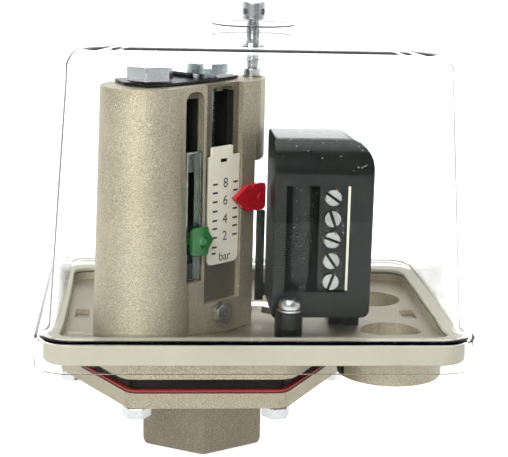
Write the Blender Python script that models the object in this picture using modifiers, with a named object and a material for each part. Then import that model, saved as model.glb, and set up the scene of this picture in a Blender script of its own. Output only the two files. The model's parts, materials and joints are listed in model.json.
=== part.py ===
"""Diaphragm pressure switch under a clear cover, as an assembly of separate parts.

The frame's origin lies under the cover's centre, level with the pressure port's mouth. +Z runs
up and -Y is the side that shows the scale and the terminals. Every size below is in millimetres, and
the mesh helpers turn it into metres.
"""
import math

import bmesh
import bpy
from mathutils import Matrix, Vector

MM = 0.001

# ---- Overall sizes -------------------------------------------------------------------------
PORT_X = -14.7            # axis of the pressure port, to the left of the cover's centre
SEAT_Z = 48.8             # top of the cover's shelf above the port's mouth
GAP = 0.3                 # clearance between neighbouring pieces

SKIRT_HALF = (68.0, 54.0)
SKIRT_RADIUS = 11.0
SKIRT_LOW = -10.35
SHELF_STEP = 4.5          # width of the shelf around the cover's body
COVER_WALL = 1.6
COVER_DRAFT = 5.0         # inward lean of the walls over the height of the body
BODY_HEIGHT = 76.0
TOP_HEIGHT = 88.4
CROWN = (2.0, 1.0)        # how far the roof falls towards its long and short edges
ROOF_RADIUS = 6.0
BOSS_RADIUS = 13.5
BOSS_TOP = 90.8

TRAY_HALF = (63.0, 49.0)
TRAY_INNER = (60.5, 45.5)
TRAY_RADIUS = 9.0
TRAY_TOP = -3.8
TRAY_FLOOR = -6.5
TRAY_LOW = -9.0

HEX_LIP = 51.5            # corner radii of the three hexagons around the port's axis
HEX_NECK = 47.0
HEX_FLANGE = 48.8
LIP_LOW = -15.0
NECK_LOW = -19.1
FLANGE_TOP = 28.5
FLANGE_LOW = 23.6
BOLT_CIRCLE = 43.5
BOLT_COUNT = 6
PORT_HEX = 22.6           # corner radius of the spanner hexagon
PORT_RADIUS = 9.5         # core of a half-inch pipe thread
PORT_DEPTH = 17.0
CHAMBER_RADIUS = 27.0

CABLE_X = 45.6
CABLE_Y = 20.0
CABLE_RADIUS = 17.3
CABLE_BORE = 10.0
CABLE_LOW = -20.0

TOWER_TURN = math.radians(43.0)
TOWER_TOP = 73.6
TOWER_LOW = TRAY_FLOOR + GAP
FACE = 9.5                # distance of the scale side from the line through the columns
RECESS = 7.5              # depth level of the recess for the scale
MAIN_CAST = (-45.5, 2.8)  # centre of the round main column, and its two radii
MAIN_CAST_R = (15.3, 13.2)
MAIN = (-44.2, 1.5)       # axis of the main adjusting screw
MAIN_BORE = 9.5
DIFF = (-20.9, 0.0)       # axis of the differential screw
DIFF_BORE = 6.4
BORE_TOP = 70.4
PIVOT_A = -15.9           # rocker pin, along the line through the columns
PIVOT_Z = 0.4
FOOT_TOP = 4.0
FOOT_BOLT = (-23.4, 0.7)  # bolt through the foot, along the columns' line and up

MAIN_NUT_Z = 22.4
DIFF_NUT_Z = 33.6
NUT_HEIGHT = 6.0
GREEN_Z = 25.4
RED_Z = 36.6

BLOCK_X = (5.5, 36.3)
BLOCK_Y = (-32.0, -4.0)
BLOCK_Z = (1.4, 57.3)
STRIP_X = (19.3, 28.8)
TERMINALS = 5
TERMINAL_X = 23.9
TERMINAL_LOW = 12.7
TERMINAL_PITCH = 6.73
PLUNGER_AT = (10.5, -10.0)
HOLD_AT = (10.6, -36.7)   # screw that holds the block's front foot


# ---- Scene ----------------------------------------------------------------------------------
for old in list(bpy.data.objects):
    bpy.data.objects.remove(old, do_unlink=True)

PARTS = bpy.data.collections.new("pressure_switch")
CUTTERS = bpy.data.collections.new("cutters")
for group in (PARTS, CUTTERS):
    bpy.context.scene.collection.children.link(group)


def frame_empty(name, at, turn=0.0):
    """An empty whose own coordinates the parts of one group are given in."""
    empty = bpy.data.objects.new(name, None)
    PARTS.objects.link(empty)
    empty.location = Vector(at) * MM
    empty.rotation_euler = (0.0, 0.0, turn)
    return empty


PORT_FRAME = frame_empty("port_frame", (PORT_X, 0.0, 0.0))
HOUSING = frame_empty("housing_frame", (0.0, 0.0, SEAT_Z))
TOWER = frame_empty("tower_frame", (0.0, 0.0, SEAT_Z), TOWER_TURN)


def principled(name, colour, metallic, roughness, alpha=1.0):
    material = bpy.data.materials.new(name)
    material.use_nodes = True
    shader = material.node_tree.nodes["Principled BSDF"]
    shader.inputs["Base Color"].default_value = (*colour, 1.0)
    shader.inputs["Metallic"].default_value = metallic
    shader.inputs["Roughness"].default_value = roughness
    shader.inputs["Alpha"].default_value = alpha
    return material


CAST = principled("cast_aluminium", (0.52, 0.49, 0.43), 0.75, 0.5)
ZINC = principled("zinc_plated_steel", (0.66, 0.67, 0.66), 1.0, 0.3)
SPRING_STEEL = principled("spring_steel", (0.35, 0.35, 0.36), 1.0, 0.35)
BLACKENED = principled("blackened_steel", (0.05, 0.05, 0.055), 0.8, 0.4)
CHROME = principled("bright_guide", (0.75, 0.77, 0.76), 1.0, 0.15)
CLEAR = principled("clear_plastic", (0.95, 0.97, 0.97), 0.0, 0.05, 0.2)
SEAL = principled("seal_foam", (0.62, 0.58, 0.46), 0.0, 0.6)
RED = principled("red_plastic", (0.62, 0.02, 0.05), 0.0, 0.3)
GREEN = principled("green_plastic", (0.02, 0.25, 0.05), 0.0, 0.3)
SCALE = principled("scale_card", (0.74, 0.71, 0.6), 0.0, 0.5)
BLACK = principled("black_plastic", (0.02, 0.022, 0.022), 0.0, 0.25)
DIAPHRAGM = principled("red_rubber", (0.5, 0.08, 0.07), 0.0, 0.6)
BRASS = principled("brass", (0.7, 0.52, 0.22), 1.0, 0.3)


# ---- Mesh helpers ---------------------------------------------------------------------------
def finish_mesh(name, bm):
    """Scales a mesh from millimetres to metres and shades it smooth between sharp edges."""
    bmesh.ops.remove_doubles(bm, verts=bm.verts, dist=0.0005)
    bmesh.ops.recalc_face_normals(bm, faces=bm.faces)
    bmesh.ops.scale(bm, vec=(MM, MM, MM), verts=bm.verts)
    mesh = bpy.data.meshes.new(name)
    bm.to_mesh(mesh)
    bm.free()
    mesh.shade_smooth()
    mesh.set_sharp_from_angle(angle=math.radians(32.0))
    return mesh


def box_mesh(low, high):
    size = Vector(high) - Vector(low)
    middle = (Vector(high) + Vector(low)) / 2.0
    bm = bmesh.new()
    bmesh.ops.create_cube(bm, size=1.0, matrix=Matrix.Translation(middle) @ Matrix.Diagonal((*size, 1.0)))
    return finish_mesh("box", bm)


def round_mesh(radius, low, high, at=(0.0, 0.0), segments=40, top_radius=None, turn=0.0):
    """A cylinder or cone along Z; few segments give a nut or a hexagon."""
    bm = bmesh.new()
    place = Matrix.Translation((at[0], at[1], (low + high) / 2.0)) @ Matrix.Rotation(turn, 4, "Z")
    bmesh.ops.create_cone(
        bm, cap_ends=True, segments=segments, radius1=radius,
        radius2=radius if top_radius is None else top_radius, depth=high - low, matrix=place)
    return finish_mesh("round", bm)


def prism_mesh(outline, low, high):
    """A flat outline of points, lifted from one height to another."""
    bm = bmesh.new()
    face = bm.faces.new([bm.verts.new((x, y, low)) for x, y in outline])
    lifted = bmesh.ops.extrude_face_region(bm, geom=[face])["geom"]
    moved = [item for item in lifted if isinstance(item, bmesh.types.BMVert)]
    bmesh.ops.translate(bm, vec=(0.0, 0.0, high - low), verts=moved)
    return finish_mesh("prism", bm)


def loft_mesh(rings, cap_low=True, cap_high=True):
    """A skin over rings of points that all have the same count."""
    bm = bmesh.new()
    rows = [[bm.verts.new(point) for point in ring] for ring in rings]
    for lower, upper in zip(rows, rows[1:]):
        for index, corner in enumerate(lower):
            after = (index + 1) % len(lower)
            bm.faces.new((corner, lower[after], upper[after], upper[index]))
    if cap_low:
        bm.faces.new(rows[0])
    if cap_high:
        bm.faces.new(rows[-1])
    return finish_mesh("loft", bm)


def rounded(corners, radii, steps=5):
    """The corners of a convex or concave outline, each replaced by an arc."""
    if not isinstance(radii, (list, tuple)):
        radii = [radii] * len(corners)
    points = []
    count = len(corners)
    for index, corner in enumerate(corners):
        here = Vector(corner)
        before = (Vector(corners[index - 1]) - here).normalized()
        after = (Vector(corners[(index + 1) % count]) - here).normalized()
        radius = radii[index]
        if radius <= 0.0:
            points.append(tuple(here))
            continue
        half = before.angle(after) / 2.0
        centre = here + (before + after).normalized() * (radius / math.sin(half))
        start = here + before * (radius / math.tan(half)) - centre
        sweep = start.angle_signed(here + after * (radius / math.tan(half)) - centre)
        for step in range(steps + 1):
            spoke = start.copy()
            spoke.rotate(Matrix.Rotation(-sweep * step / steps, 2))
            points.append(tuple(centre + spoke))
    return points


def rectangle(half, radius, steps=5):
    half_x, half_y = half
    corners = [(-half_x, -half_y), (half_x, -half_y), (half_x, half_y), (-half_x, half_y)]
    return rounded(corners, radius, steps)


def hexagon(corner_radius, radius, turn=0.0, centre=(0.0, 0.0), steps=4):
    corners = []
    for index in range(6):
        angle = turn + index * math.pi / 3.0
        corners.append((centre[0] + corner_radius * math.cos(angle),
                        centre[1] + corner_radius * math.sin(angle)))
    return rounded(corners, radius, steps)


def side_view(points):
    """Turns an outline given as distance along and away from the columns into the tower's own axes."""
    return [(along, -away) for along, away in points]


def add_part(name, mesh, material, parent=HOUSING, at=(0.0, 0.0, 0.0), turn=(0.0, 0.0, 0.0)):
    part = bpy.data.objects.new(name, mesh)
    mesh.name = name
    mesh.materials.clear()
    mesh.materials.append(material)
    PARTS.objects.link(part)
    part.parent = parent
    part.location = Vector(at) * MM
    part.rotation_euler = turn
    return part


def change(part, mesh, operation, at=(0.0, 0.0, 0.0), turn=(0.0, 0.0, 0.0)):
    """Adds one Boolean step to a part; its tool sits in the part's own parent frame."""
    tool = bpy.data.objects.new(part.name + "_tool", mesh)
    CUTTERS.objects.link(tool)
    tool.parent = part.parent
    tool.location = Vector(at) * MM
    tool.rotation_euler = turn
    tool.hide_render = True
    tool.display_type = "WIRE"
    step = part.modifiers.new(operation.lower(), "BOOLEAN")
    step.operation = operation
    step.solver = "EXACT"
    step.object = tool


def cut(part, mesh, **place):
    change(part, mesh, "DIFFERENCE", **place)


def join(part, mesh, **place):
    change(part, mesh, "UNION", **place)


ALONG_Y = (math.radians(90.0), 0.0, 0.0)


def bolt_places():
    for index in range(BOLT_COUNT):
        angle = index * 2.0 * math.pi / BOLT_COUNT
        yield BOLT_CIRCLE * math.cos(angle), BOLT_CIRCLE * math.sin(angle)


# ---- Housing --------------------------------------------------------------------------------
def base_housing():
    """Cast tray with its hexagonal underside, cable entries and the lug for the tower's bolt."""
    port = (PORT_X, 0.0)
    part = add_part("base_housing", prism_mesh(rectangle(TRAY_HALF, TRAY_RADIUS), TRAY_LOW, TRAY_TOP), CAST)
    cut(part, prism_mesh(rectangle(TRAY_INNER, TRAY_RADIUS - 2.5), TRAY_FLOOR, 0.0))
    join(part, prism_mesh(hexagon(HEX_LIP, 6.0, centre=port), LIP_LOW, TRAY_LOW + 0.5))
    join(part, prism_mesh(hexagon(HEX_NECK, 5.0, centre=port), NECK_LOW, LIP_LOW + 0.5))
    for side in (-1.0, 1.0):
        entry = (CABLE_X, side * CABLE_Y)
        join(part, round_mesh(CABLE_RADIUS - 0.4, CABLE_LOW, TRAY_LOW + 0.5, entry, 48, CABLE_RADIUS))
        cut(part, round_mesh(CABLE_BORE, CABLE_LOW - 1.0, TRAY_FLOOR + 1.0, entry, 40))
        pocket_x = side * 55.0
        cut(part, box_mesh((pocket_x - 2.4, -5.0, TRAY_FLOOR - 1.4), (pocket_x + 2.4, 5.0, TRAY_FLOOR + 1.0)))
    cut(part, round_mesh(CHAMBER_RADIUS, NECK_LOW - 1.0, -9.6, port, 48))
    cut(part, round_mesh(3.6, -10.0, TRAY_FLOOR + 0.5, port, 24))
    for x, y in bolt_places():
        cut(part, round_mesh(2.8, NECK_LOW - 1.0, -10.0, (x + PORT_X, y), 16))
    along_tower = (0.0, 0.0, TOWER_TURN)
    join(part, box_mesh((-26.8, -6.5, TRAY_FLOOR - 0.4), (-20.2, -4.3, 3.2)), turn=along_tower)
    cut(part, round_mesh(2.2, 2.0, 9.0, FOOT_BOLT, 16), turn=(math.radians(90.0), 0.0, TOWER_TURN))


def cover_seal():
    """Ring that lies over the tray's rim and stands behind the cover's skirt."""
    half = (SKIRT_HALF[0] - 2.5, SKIRT_HALF[1] - 2.5)
    part = add_part("cover_seal", prism_mesh(rectangle(half, SKIRT_RADIUS - 1.5), -8.4, -2.1), SEAL)
    inner = (TRAY_HALF[0] + GAP, TRAY_HALF[1] + GAP)
    cut(part, prism_mesh(rectangle(inner, TRAY_RADIUS + GAP), -9.0, TRAY_TOP + GAP))
    cut(part, prism_mesh(rectangle((60.6, 45.6), TRAY_RADIUS - 2.4), -5.0, 0.0))


def roof_ring(half, radius, drop):
    """One ring of the cover's crowned roof, lower towards its edges."""
    ring = []
    for x, y in rectangle(half, radius):
        fall = CROWN[0] * (x / 53.0) ** 2 + CROWN[1] * (y / 42.0) ** 2
        ring.append((x, y, TOP_HEIGHT - fall - drop))
    return ring


def clear_cover():
    """Clear hood: skirt, shelf, leaning walls, crowned roof and the boss for its screw."""
    body = (SKIRT_HALF[0] - SHELF_STEP, SKIRT_HALF[1] - SHELF_STEP)

    def level(inset, radius, z):
        return [(x, y, z) for x, y in rectangle((body[0] - inset, body[1] - inset), radius)]

    rings = [
        level(-SHELF_STEP, SKIRT_RADIUS, SKIRT_LOW),
        level(-SHELF_STEP, SKIRT_RADIUS, -0.8),
        level(-SHELF_STEP + 0.8, SKIRT_RADIUS - 0.8, 0.0),
        level(-1.6, 9.8, 0.0),
        level(-0.5, 9.0, 0.6),
        level(0.0, 8.6, 2.2),
        level(COVER_DRAFT, 7.4, BODY_HEIGHT),
    ]
    edge = (body[0] - COVER_DRAFT, body[1] - COVER_DRAFT)
    for step, radius in ((1, 7.0), (2, 6.4), (3, 5.4)):
        angle = step * math.pi / 6.0
        inset = ROOF_RADIUS * (1.0 - math.cos(angle))
        lift = (1.0 - math.sin(angle)) * ROOF_RADIUS
        rings.append(roof_ring((edge[0] - inset, edge[1] - inset), radius, lift))
    for share in (0.66, 0.33):
        rings.append(roof_ring((edge[0] * share, edge[1] * share), 5.0 * share, 0.0))
    bm = bmesh.new()
    rows = [[bm.verts.new(point) for point in ring] for ring in rings]
    for lower, upper in zip(rows, rows[1:]):
        for index, corner in enumerate(lower):
            after = (index + 1) % len(lower)
            bm.faces.new((corner, lower[after], upper[after], upper[index]))
    peak = bm.verts.new((0.0, 0.0, TOP_HEIGHT))
    for index, corner in enumerate(rows[-1]):
        bm.faces.new((corner, rows[-1][(index + 1) % len(rows[-1])], peak))
    part = add_part("clear_cover", finish_mesh("cover", bm), CLEAR)
    wall = part.modifiers.new("wall", "SOLIDIFY")
    wall.thickness = COVER_WALL * MM
    wall.offset = -1.0
    join(part, round_mesh(BOSS_RADIUS + 0.4, TOP_HEIGHT - 1.2, BOSS_TOP, segments=40, top_radius=BOSS_RADIUS))
    cut(part, round_mesh(2.6, TOP_HEIGHT - 4.0, BOSS_TOP + 1.0, segments=24))


def turned(name, profile, material, parent, at, steps=32):
    """A turned piece from its outer profile, given as radius and height from the top down."""
    mesh = bpy.data.meshes.new(name)
    points = [(radius * MM, 0.0, z * MM) for radius, z in profile]
    mesh.from_pydata(points, [(index, index + 1) for index in range(len(points) - 1)], [])
    part = add_part(name, mesh, material, parent, (at[0], at[1], 0.0))
    spin = part.modifiers.new("turn", "SCREW")
    spin.steps = steps
    spin.render_steps = steps
    spin.use_merge_vertices = True
    spin.merge_threshold = 0.00001
    spin.use_normal_calculate = False
    return part


def cover_screw():
    """Captive screw with a cross-drilled head, its neck in the boss and its thread below."""
    profile = [(0.0, 97.8), (3.5, 97.8), (4.05, 97.2), (4.05, 92.2), (3.5, 91.7), (2.1, 91.3),
               (2.1, 77.6), (1.5, 77.0), (1.5, 66.0), (0.0, 66.0)]
    part = turned("cover_screw", profile, ZINC, HOUSING, (0.0, 0.0))
    for angle in (45.0, 135.0):
        cut(part, round_mesh(1.0, -6.0, 6.0, segments=16), at=(0.0, 0.0, 94.6),
            turn=(math.radians(90.0), 0.0, math.radians(angle)))


def cover_screw_clip():
    part = add_part("cover_screw_clip", round_mesh(4.7, 82.2, 83.0, segments=32), ZINC)
    cut(part, round_mesh(2.4, 81.0, 84.0, segments=24))


# ---- Spring tower ---------------------------------------------------------------------------
def spring_tower():
    """Casting with the round main column, the differential column and the cover screw's arm."""
    part = add_part("spring_tower", round_mesh(
        MAIN_CAST_R[0], TOWER_LOW, TOWER_TOP, MAIN_CAST, 64, MAIN_CAST_R[1]), CAST, TOWER)
    outline = side_view([(-45.0, FACE), (-7.2, FACE), (-7.2, -2.0), (-4.0, -4.5), (-4.0, -15.0),
                         (-6.0, -16.5), (-36.0, -16.5), (-45.0, -7.0)])
    join(part, prism_mesh(rounded(outline, [0.0, 1.2, 0.8, 1.0, 1.0, 1.0, 2.0, 0.0], 3), TOWER_LOW, TOWER_TOP))
    arm = side_view([(-8.0, FACE), (-5.6, 9.2), (-1.0, 6.6), (3.0, 3.4), (4.4, 0.0), (3.0, -3.4),
                     (0.0, -4.6), (-8.0, -6.0)])
    join(part, prism_mesh(rounded(arm, [0.0, 1.5, 2.0, 2.0, 2.0, 2.0, 2.0, 0.0], 3), 48.0, TOWER_TOP))
    cut(part, round_mesh(MAIN_BORE, TOWER_LOW - 1.0, BORE_TOP, MAIN, 48))
    cut(part, round_mesh(4.3, BORE_TOP - 1.0, TOWER_TOP + 1.0, MAIN, 24))
    cut(part, round_mesh(DIFF_BORE, TOWER_LOW - 1.0, BORE_TOP, DIFF, 40))
    cut(part, round_mesh(3.3, BORE_TOP - 1.0, TOWER_TOP + 1.0, DIFF, 24))
    foot = side_view([(-46.0, 6.8), (-9.5, 6.8), (-9.5, -1.5), (-6.5, -4.2), (-6.5, -14.2),
                      (-35.0, -14.2), (-46.0, -4.5)])
    cut(part, prism_mesh(foot, TOWER_LOW - 1.0, FOOT_TOP))
    cut(part, box_mesh((-11.0, -7.2, TOWER_LOW - 1.0), (-5.0, 1.0, 2.2)))
    scale_side_recesses(part)
    cut(part, round_mesh(1.7, -16.0, 8.4, segments=16), at=(PIVOT_A, 0.0, PIVOT_Z), turn=ALONG_Y)
    cut(part, round_mesh(2.9, 60.0, TOWER_TOP + 1.0, segments=24))
    cut(part, round_mesh(2.3, 5.0, 11.0, FOOT_BOLT, 16), turn=ALONG_Y)


def scale_side_recesses(part):
    """Recess and slots on the tower's scale side, and the window for the red pointer's arm."""
    cut(part, box_mesh((-30.3, -FACE - 1.0, 4.2), (-14.1, -RECESS, TOWER_TOP + 1.0)))
    slot = rounded([(-26.0, 30.0), (-16.5, 30.0), (-16.5, 72.6), (-26.0, 72.6)], [0.0, 0.0, 2.4, 2.4], 4)
    cut(part, prism_mesh(slot, 3.0, RECESS + 0.5), turn=ALONG_Y)
    channel = rounded([(-39.3, 12.2), (-31.4, 12.2), (-31.4, 72.0), (-39.3, 72.0)], [0.0, 0.0, 3.0, 3.0], 4)
    cut(part, prism_mesh(channel, 7.0, 11.0), turn=ALONG_Y)
    cut(part, box_mesh((-38.6, -7.4, 14.0), (-31.8, 3.0, 69.6)))
    cut(part, box_mesh((-16.0, -3.4, 22.0), (-6.0, 0.4, 47.0)))


def screw_collar():
    """Threaded insert on the arm that takes the cover's screw."""
    profile = [(1.8, 76.9), (2.8, 76.9), (3.1, 76.5), (3.1, 73.9), (2.6, 73.9), (2.6, 62.0), (1.8, 62.0),
               (1.8, 76.9)]
    turned("screw_collar", profile, ZINC, TOWER, (0.0, 0.0), 24)


def adjusting_screws():
    """Hexagonal main screw and slotted differential screw, each on its washer."""
    main = add_part("main_adjusting_screw", round_mesh(3.9, 10.0, 76.0, segments=28), ZINC, TOWER,
                    (*MAIN, 0.0))
    join(main, round_mesh(7.5, 75.1, 79.6, segments=6, turn=math.radians(50.0) - TOWER_TURN),
         at=(*MAIN, 0.0))
    profile = [(0.0, 80.0), (6.1, 80.0), (6.5, 79.6), (6.5, 76.2), (2.9, 76.2), (2.9, 20.0), (0.0, 20.0)]
    diff = turned("differential_screw", profile, ZINC, TOWER, DIFF, 32)
    slot_turn = (0.0, 0.0, math.radians(88.0) - TOWER_TURN)
    cut(diff, box_mesh((-8.0, -1.35, 77.9), (8.0, 1.35, 81.0)), at=(*DIFF, 0.0), turn=slot_turn)


def lock_plate():
    """Thin plate under both screw heads, with a rolled tab between them."""
    outline = side_view([(-51.5, -5.0), (-50.0, 4.0), (-40.0, 5.6), (-24.0, 5.0), (-13.5, 3.4), (-8.2, 1.8),
                         (-7.6, -1.6), (-14.0, -8.2), (-36.0, -14.0), (-47.0, -14.6)])
    part = add_part("lock_plate", prism_mesh(rounded(outline, 1.5, 3), 73.9, 74.7), BLACKENED, TOWER)
    join(part, round_mesh(0.9, -10.0, -1.2, (-26.6, 75.3), 16), turn=ALONG_Y)
    cut(part, round_mesh(4.2, 73.0, 76.0, MAIN, 24))
    cut(part, round_mesh(3.2, 73.0, 76.0, DIFF, 24))


def coil(name, axis, radius, wire, low, high, turns, steps):
    """A spring as a helix of round wire with filled ends."""
    curve = bpy.data.curves.new(name, "CURVE")
    curve.dimensions = "3D"
    curve.bevel_depth = wire * MM
    curve.bevel_resolution = 2
    curve.use_fill_caps = True
    line = curve.splines.new("POLY")
    count = turns * steps + 1
    line.points.add(count - 1)
    for index in range(count):
        angle = index * 2.0 * math.pi / steps
        height = low + wire + (high - low - 2.0 * wire) * index / (count - 1)
        point = Vector((radius * math.cos(angle), radius * math.sin(angle), height)) * MM
        line.points[index].co = (*point, 1.0)
    curve.materials.append(SPRING_STEEL)
    part = bpy.data.objects.new(name, curve)
    PARTS.objects.link(part)
    part.parent = TOWER
    part.location = Vector((*axis, 0.0)) * MM


def carriers():
    """Nuts that ride on the screws and stretch the springs as they rise."""
    main = add_part("main_spring_nut", round_mesh(8.9, MAIN_NUT_Z, MAIN_NUT_Z + NUT_HEIGHT, segments=36),
                    ZINC, TOWER, (*MAIN, 0.0))
    join(main, box_mesh((-38.2, -5.4, GREEN_Z - 2.0), (-32.2, 2.4, GREEN_Z + 2.0)))
    cut(main, round_mesh(4.2, MAIN_NUT_Z - 1.0, MAIN_NUT_Z + NUT_HEIGHT + 1.0, segments=24), at=(*MAIN, 0.0))
    diff = add_part("differential_nut", round_mesh(5.9, DIFF_NUT_Z, DIFF_NUT_Z + NUT_HEIGHT, segments=32),
                    ZINC, TOWER, (*DIFF, 0.0))
    cut(diff, round_mesh(3.2, DIFF_NUT_Z - 1.0, DIFF_NUT_Z + NUT_HEIGHT + 1.0, segments=20), at=(*DIFF, 0.0))


def pointer_guide():
    """Bright channel in the tower's side that guides the green pointer's stem."""
    part = add_part("pointer_guide", box_mesh((-38.6, -9.3, 12.7), (-31.8, -7.3, 53.6)), CHROME, TOWER)
    cut(part, box_mesh((-37.8, -10.0, 12.0), (-32.6, -7.9, 52.8)))
    cut(part, box_mesh((-36.6, -9.0, 18.0), (-33.8, -7.0, 47.0)))


def green_pointer():
    """Arrow beside the scale's left ticks, on a stem from the main nut."""
    outline = [(-37.4, GREEN_Z - 4.6), (-30.6, GREEN_Z - 4.6), (-30.2, GREEN_Z - 2.6), (-28.2, GREEN_Z),
               (-30.2, GREEN_Z + 2.6), (-30.6, GREEN_Z + 4.6), (-37.4, GREEN_Z + 4.6)]
    plate = prism_mesh(rounded(outline, [1.4, 1.0, 0.4, 0.6, 0.4, 1.0, 1.4], 3), 9.8, 11.4)
    part = add_part("green_pointer", plate, GREEN, TOWER, turn=ALONG_Y)
    join(part, box_mesh((-36.0, -10.2, GREEN_Z - 1.0), (-34.4, -5.7, GREEN_Z + 1.0)))
    join(part, round_mesh(1.9, 11.2, 12.4, (-33.2, GREEN_Z), 20, 1.2), turn=ALONG_Y)


def red_pointer():
    """Arrow beside the scale's right ticks, on an arm around the tower's end."""
    outline = [(-19.3, RED_Z + 0.5), (-15.6, RED_Z - 2.6), (-13.0, RED_Z - 4.4), (-11.2, RED_Z - 3.4),
               (-9.8, RED_Z - 4.4), (-5.0, RED_Z - 4.4), (-5.0, RED_Z + 4.4), (-9.8, RED_Z + 4.4),
               (-11.2, RED_Z + 3.4), (-13.0, RED_Z + 4.4), (-15.6, RED_Z + 2.8)]
    radii = [0.3, 0.8, 0.5, 0.5, 0.8, 1.4, 1.4, 0.8, 0.5, 0.5, 0.8]
    part = add_part("red_pointer", prism_mesh(rounded(outline, radii, 3), 10.0, 11.8), RED, TOWER, turn=ALONG_Y)
    join(part, box_mesh((-14.6, -3.0, RED_Z - 1.5), (-5.2, 0.0, RED_Z + 1.5)))
    join(part, box_mesh((-6.7, -10.4, RED_Z - 1.5), (-5.2, 0.0, RED_Z + 1.5)))
    join(part, round_mesh(1.3, 11.6, 12.5, (-7.6, RED_Z), 16), turn=ALONG_Y)


def scale_plate():
    """Card with the scale, with a tab at its top and rounded lower corners."""
    outline = [(-28.3, 16.2), (-14.4, 16.2), (-14.4, 50.9), (-17.5, 50.9), (-17.5, 54.0), (-27.1, 54.0),
               (-27.1, 50.9), (-28.3, 50.9)]
    radii = [2.0, 2.0, 0.0, 0.0, 0.5, 0.5, 0.0, 0.0]
    part = add_part("scale_plate", prism_mesh(rounded(outline, radii, 4), 7.9, 8.8), SCALE, TOWER, turn=ALONG_Y)
    cut(part, box_mesh((-23.0, -10.0, 48.8), (-19.6, -7.0, 50.0)))


def guide_bar():
    """Black upright held by the switch block, behind the red pointer's arm and over the rocker."""
    part = add_part("guide_bar", box_mesh((1.9, -8.6, 0.6), (4.7, -7.0, 31.0)), BLACK)
    join(part, box_mesh((2.3, -9.6, 2.4), (BLOCK_X[0] - GAP, -6.2, 6.4)))


def tower_bolt():
    """Hexagon bolt through the tower's foot into the tray's lug."""
    part = add_part("tower_bolt", round_mesh(3.7, 9.8, 12.4, FOOT_BOLT, 6), ZINC, TOWER, turn=ALONG_Y)
    join(part, round_mesh(1.9, 4.7, 10.4, FOOT_BOLT, 16), turn=ALONG_Y)


# ---- Pressure side --------------------------------------------------------------------------
def pressure_flange():
    """Hexagonal flange with the spanner boss, the port and the shallow pressure chamber."""
    part = add_part("pressure_flange", prism_mesh(hexagon(HEX_FLANGE, 5.0), FLANGE_LOW, FLANGE_TOP), CAST,
                    PORT_FRAME)
    quarter = math.radians(30.0)
    rings = []
    for inset, radius, z in ((2.0, 2.0, 0.0), (0.6, 2.4, 0.6), (0.0, 2.6, 2.0), (0.0, 2.6, FLANGE_LOW + 0.4)):
        rings.append([(x, y, z) for x, y in hexagon(PORT_HEX - inset, radius, quarter)])
    join(part, loft_mesh(rings))
    cut(part, round_mesh(PORT_RADIUS, -1.0, PORT_DEPTH, segments=48))
    cut(part, round_mesh(3.0, PORT_DEPTH - 1.0, 27.0, segments=20))
    cut(part, round_mesh(CHAMBER_RADIUS, 26.3, FLANGE_TOP + 1.0, segments=48))
    for x, y in bolt_places():
        cut(part, round_mesh(2.8, FLANGE_LOW - 1.0, FLANGE_TOP + 1.0, (x, y), 16))


def flange_bolts():
    for index, (x, y) in enumerate(bolt_places(), start=1):
        turn = math.radians(17.0 * index)
        part = add_part("flange_bolt_%d" % index, round_mesh(4.62, 19.8, 23.3, segments=6, turn=turn), ZINC,
                        PORT_FRAME, (x, y, 0.0))
        join(part, round_mesh(2.4, 22.8, 36.0, (x, y), 16))


def diaphragm():
    part = add_part("diaphragm", prism_mesh(hexagon(HEX_FLANGE - 0.3, 5.0), 28.8, 29.4), DIAPHRAGM, PORT_FRAME)
    for x, y in bolt_places():
        cut(part, round_mesh(2.8, 28.0, 30.0, (x, y), 16))


def diaphragm_plate():
    """Plate on the diaphragm whose stem lifts the rocker."""
    profile = [(0.0, 44.9), (2.4, 44.9), (2.8, 44.5), (2.8, 32.4), (21.0, 32.4), (22.0, 31.4), (22.0, 29.7),
               (0.0, 29.7)]
    turned("diaphragm_plate", profile, ZINC, PORT_FRAME, (0.0, 0.0), 40)


# ---- Rocker and switch ----------------------------------------------------------------------
def rocker():
    """Lever from the main spring past the pin and the diaphragm's stem to the switch, and its pin."""
    outline = side_view([(-50.0, 2.4), (-14.0, 2.4), (-10.2, 6.0), (-5.5, 6.4), (-2.8, 9.4), (-2.2, 17.0),
                         (3.8, 17.0), (3.2, 8.0), (-4.2, 0.4), (-9.9, -0.6), (-9.9, -1.8), (-7.0, -4.6),
                         (-7.0, -13.0), (-14.5, -13.0), (-17.0, -5.5), (-50.0, -5.5)])
    local = [(along - PIVOT_A, y) for along, y in outline]
    part = add_part("rocker_lever", prism_mesh(local, -3.5 - PIVOT_Z, -1.3 - PIVOT_Z), ZINC, TOWER,
                    (PIVOT_A, 0.0, PIVOT_Z))
    join(part, box_mesh((PIVOT_A - 3.4, -2.4, -1.6), (PIVOT_A + 3.4, 5.5, 3.2)))
    join(part, round_mesh(3.8, -1.6, 7.4, DIFF, 24))
    join(part, round_mesh(5.8, -1.6, 2.4, MAIN, 28))
    cut(part, round_mesh(1.7, -9.0, 9.0, segments=24), at=(PIVOT_A, 0.0, PIVOT_Z), turn=ALONG_Y)
    add_part("rocker_pin", round_mesh(1.4, -15.4, 8.1, segments=20), BLACKENED, TOWER,
             (PIVOT_A, 0.0, PIVOT_Z), ALONG_Y)


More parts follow.
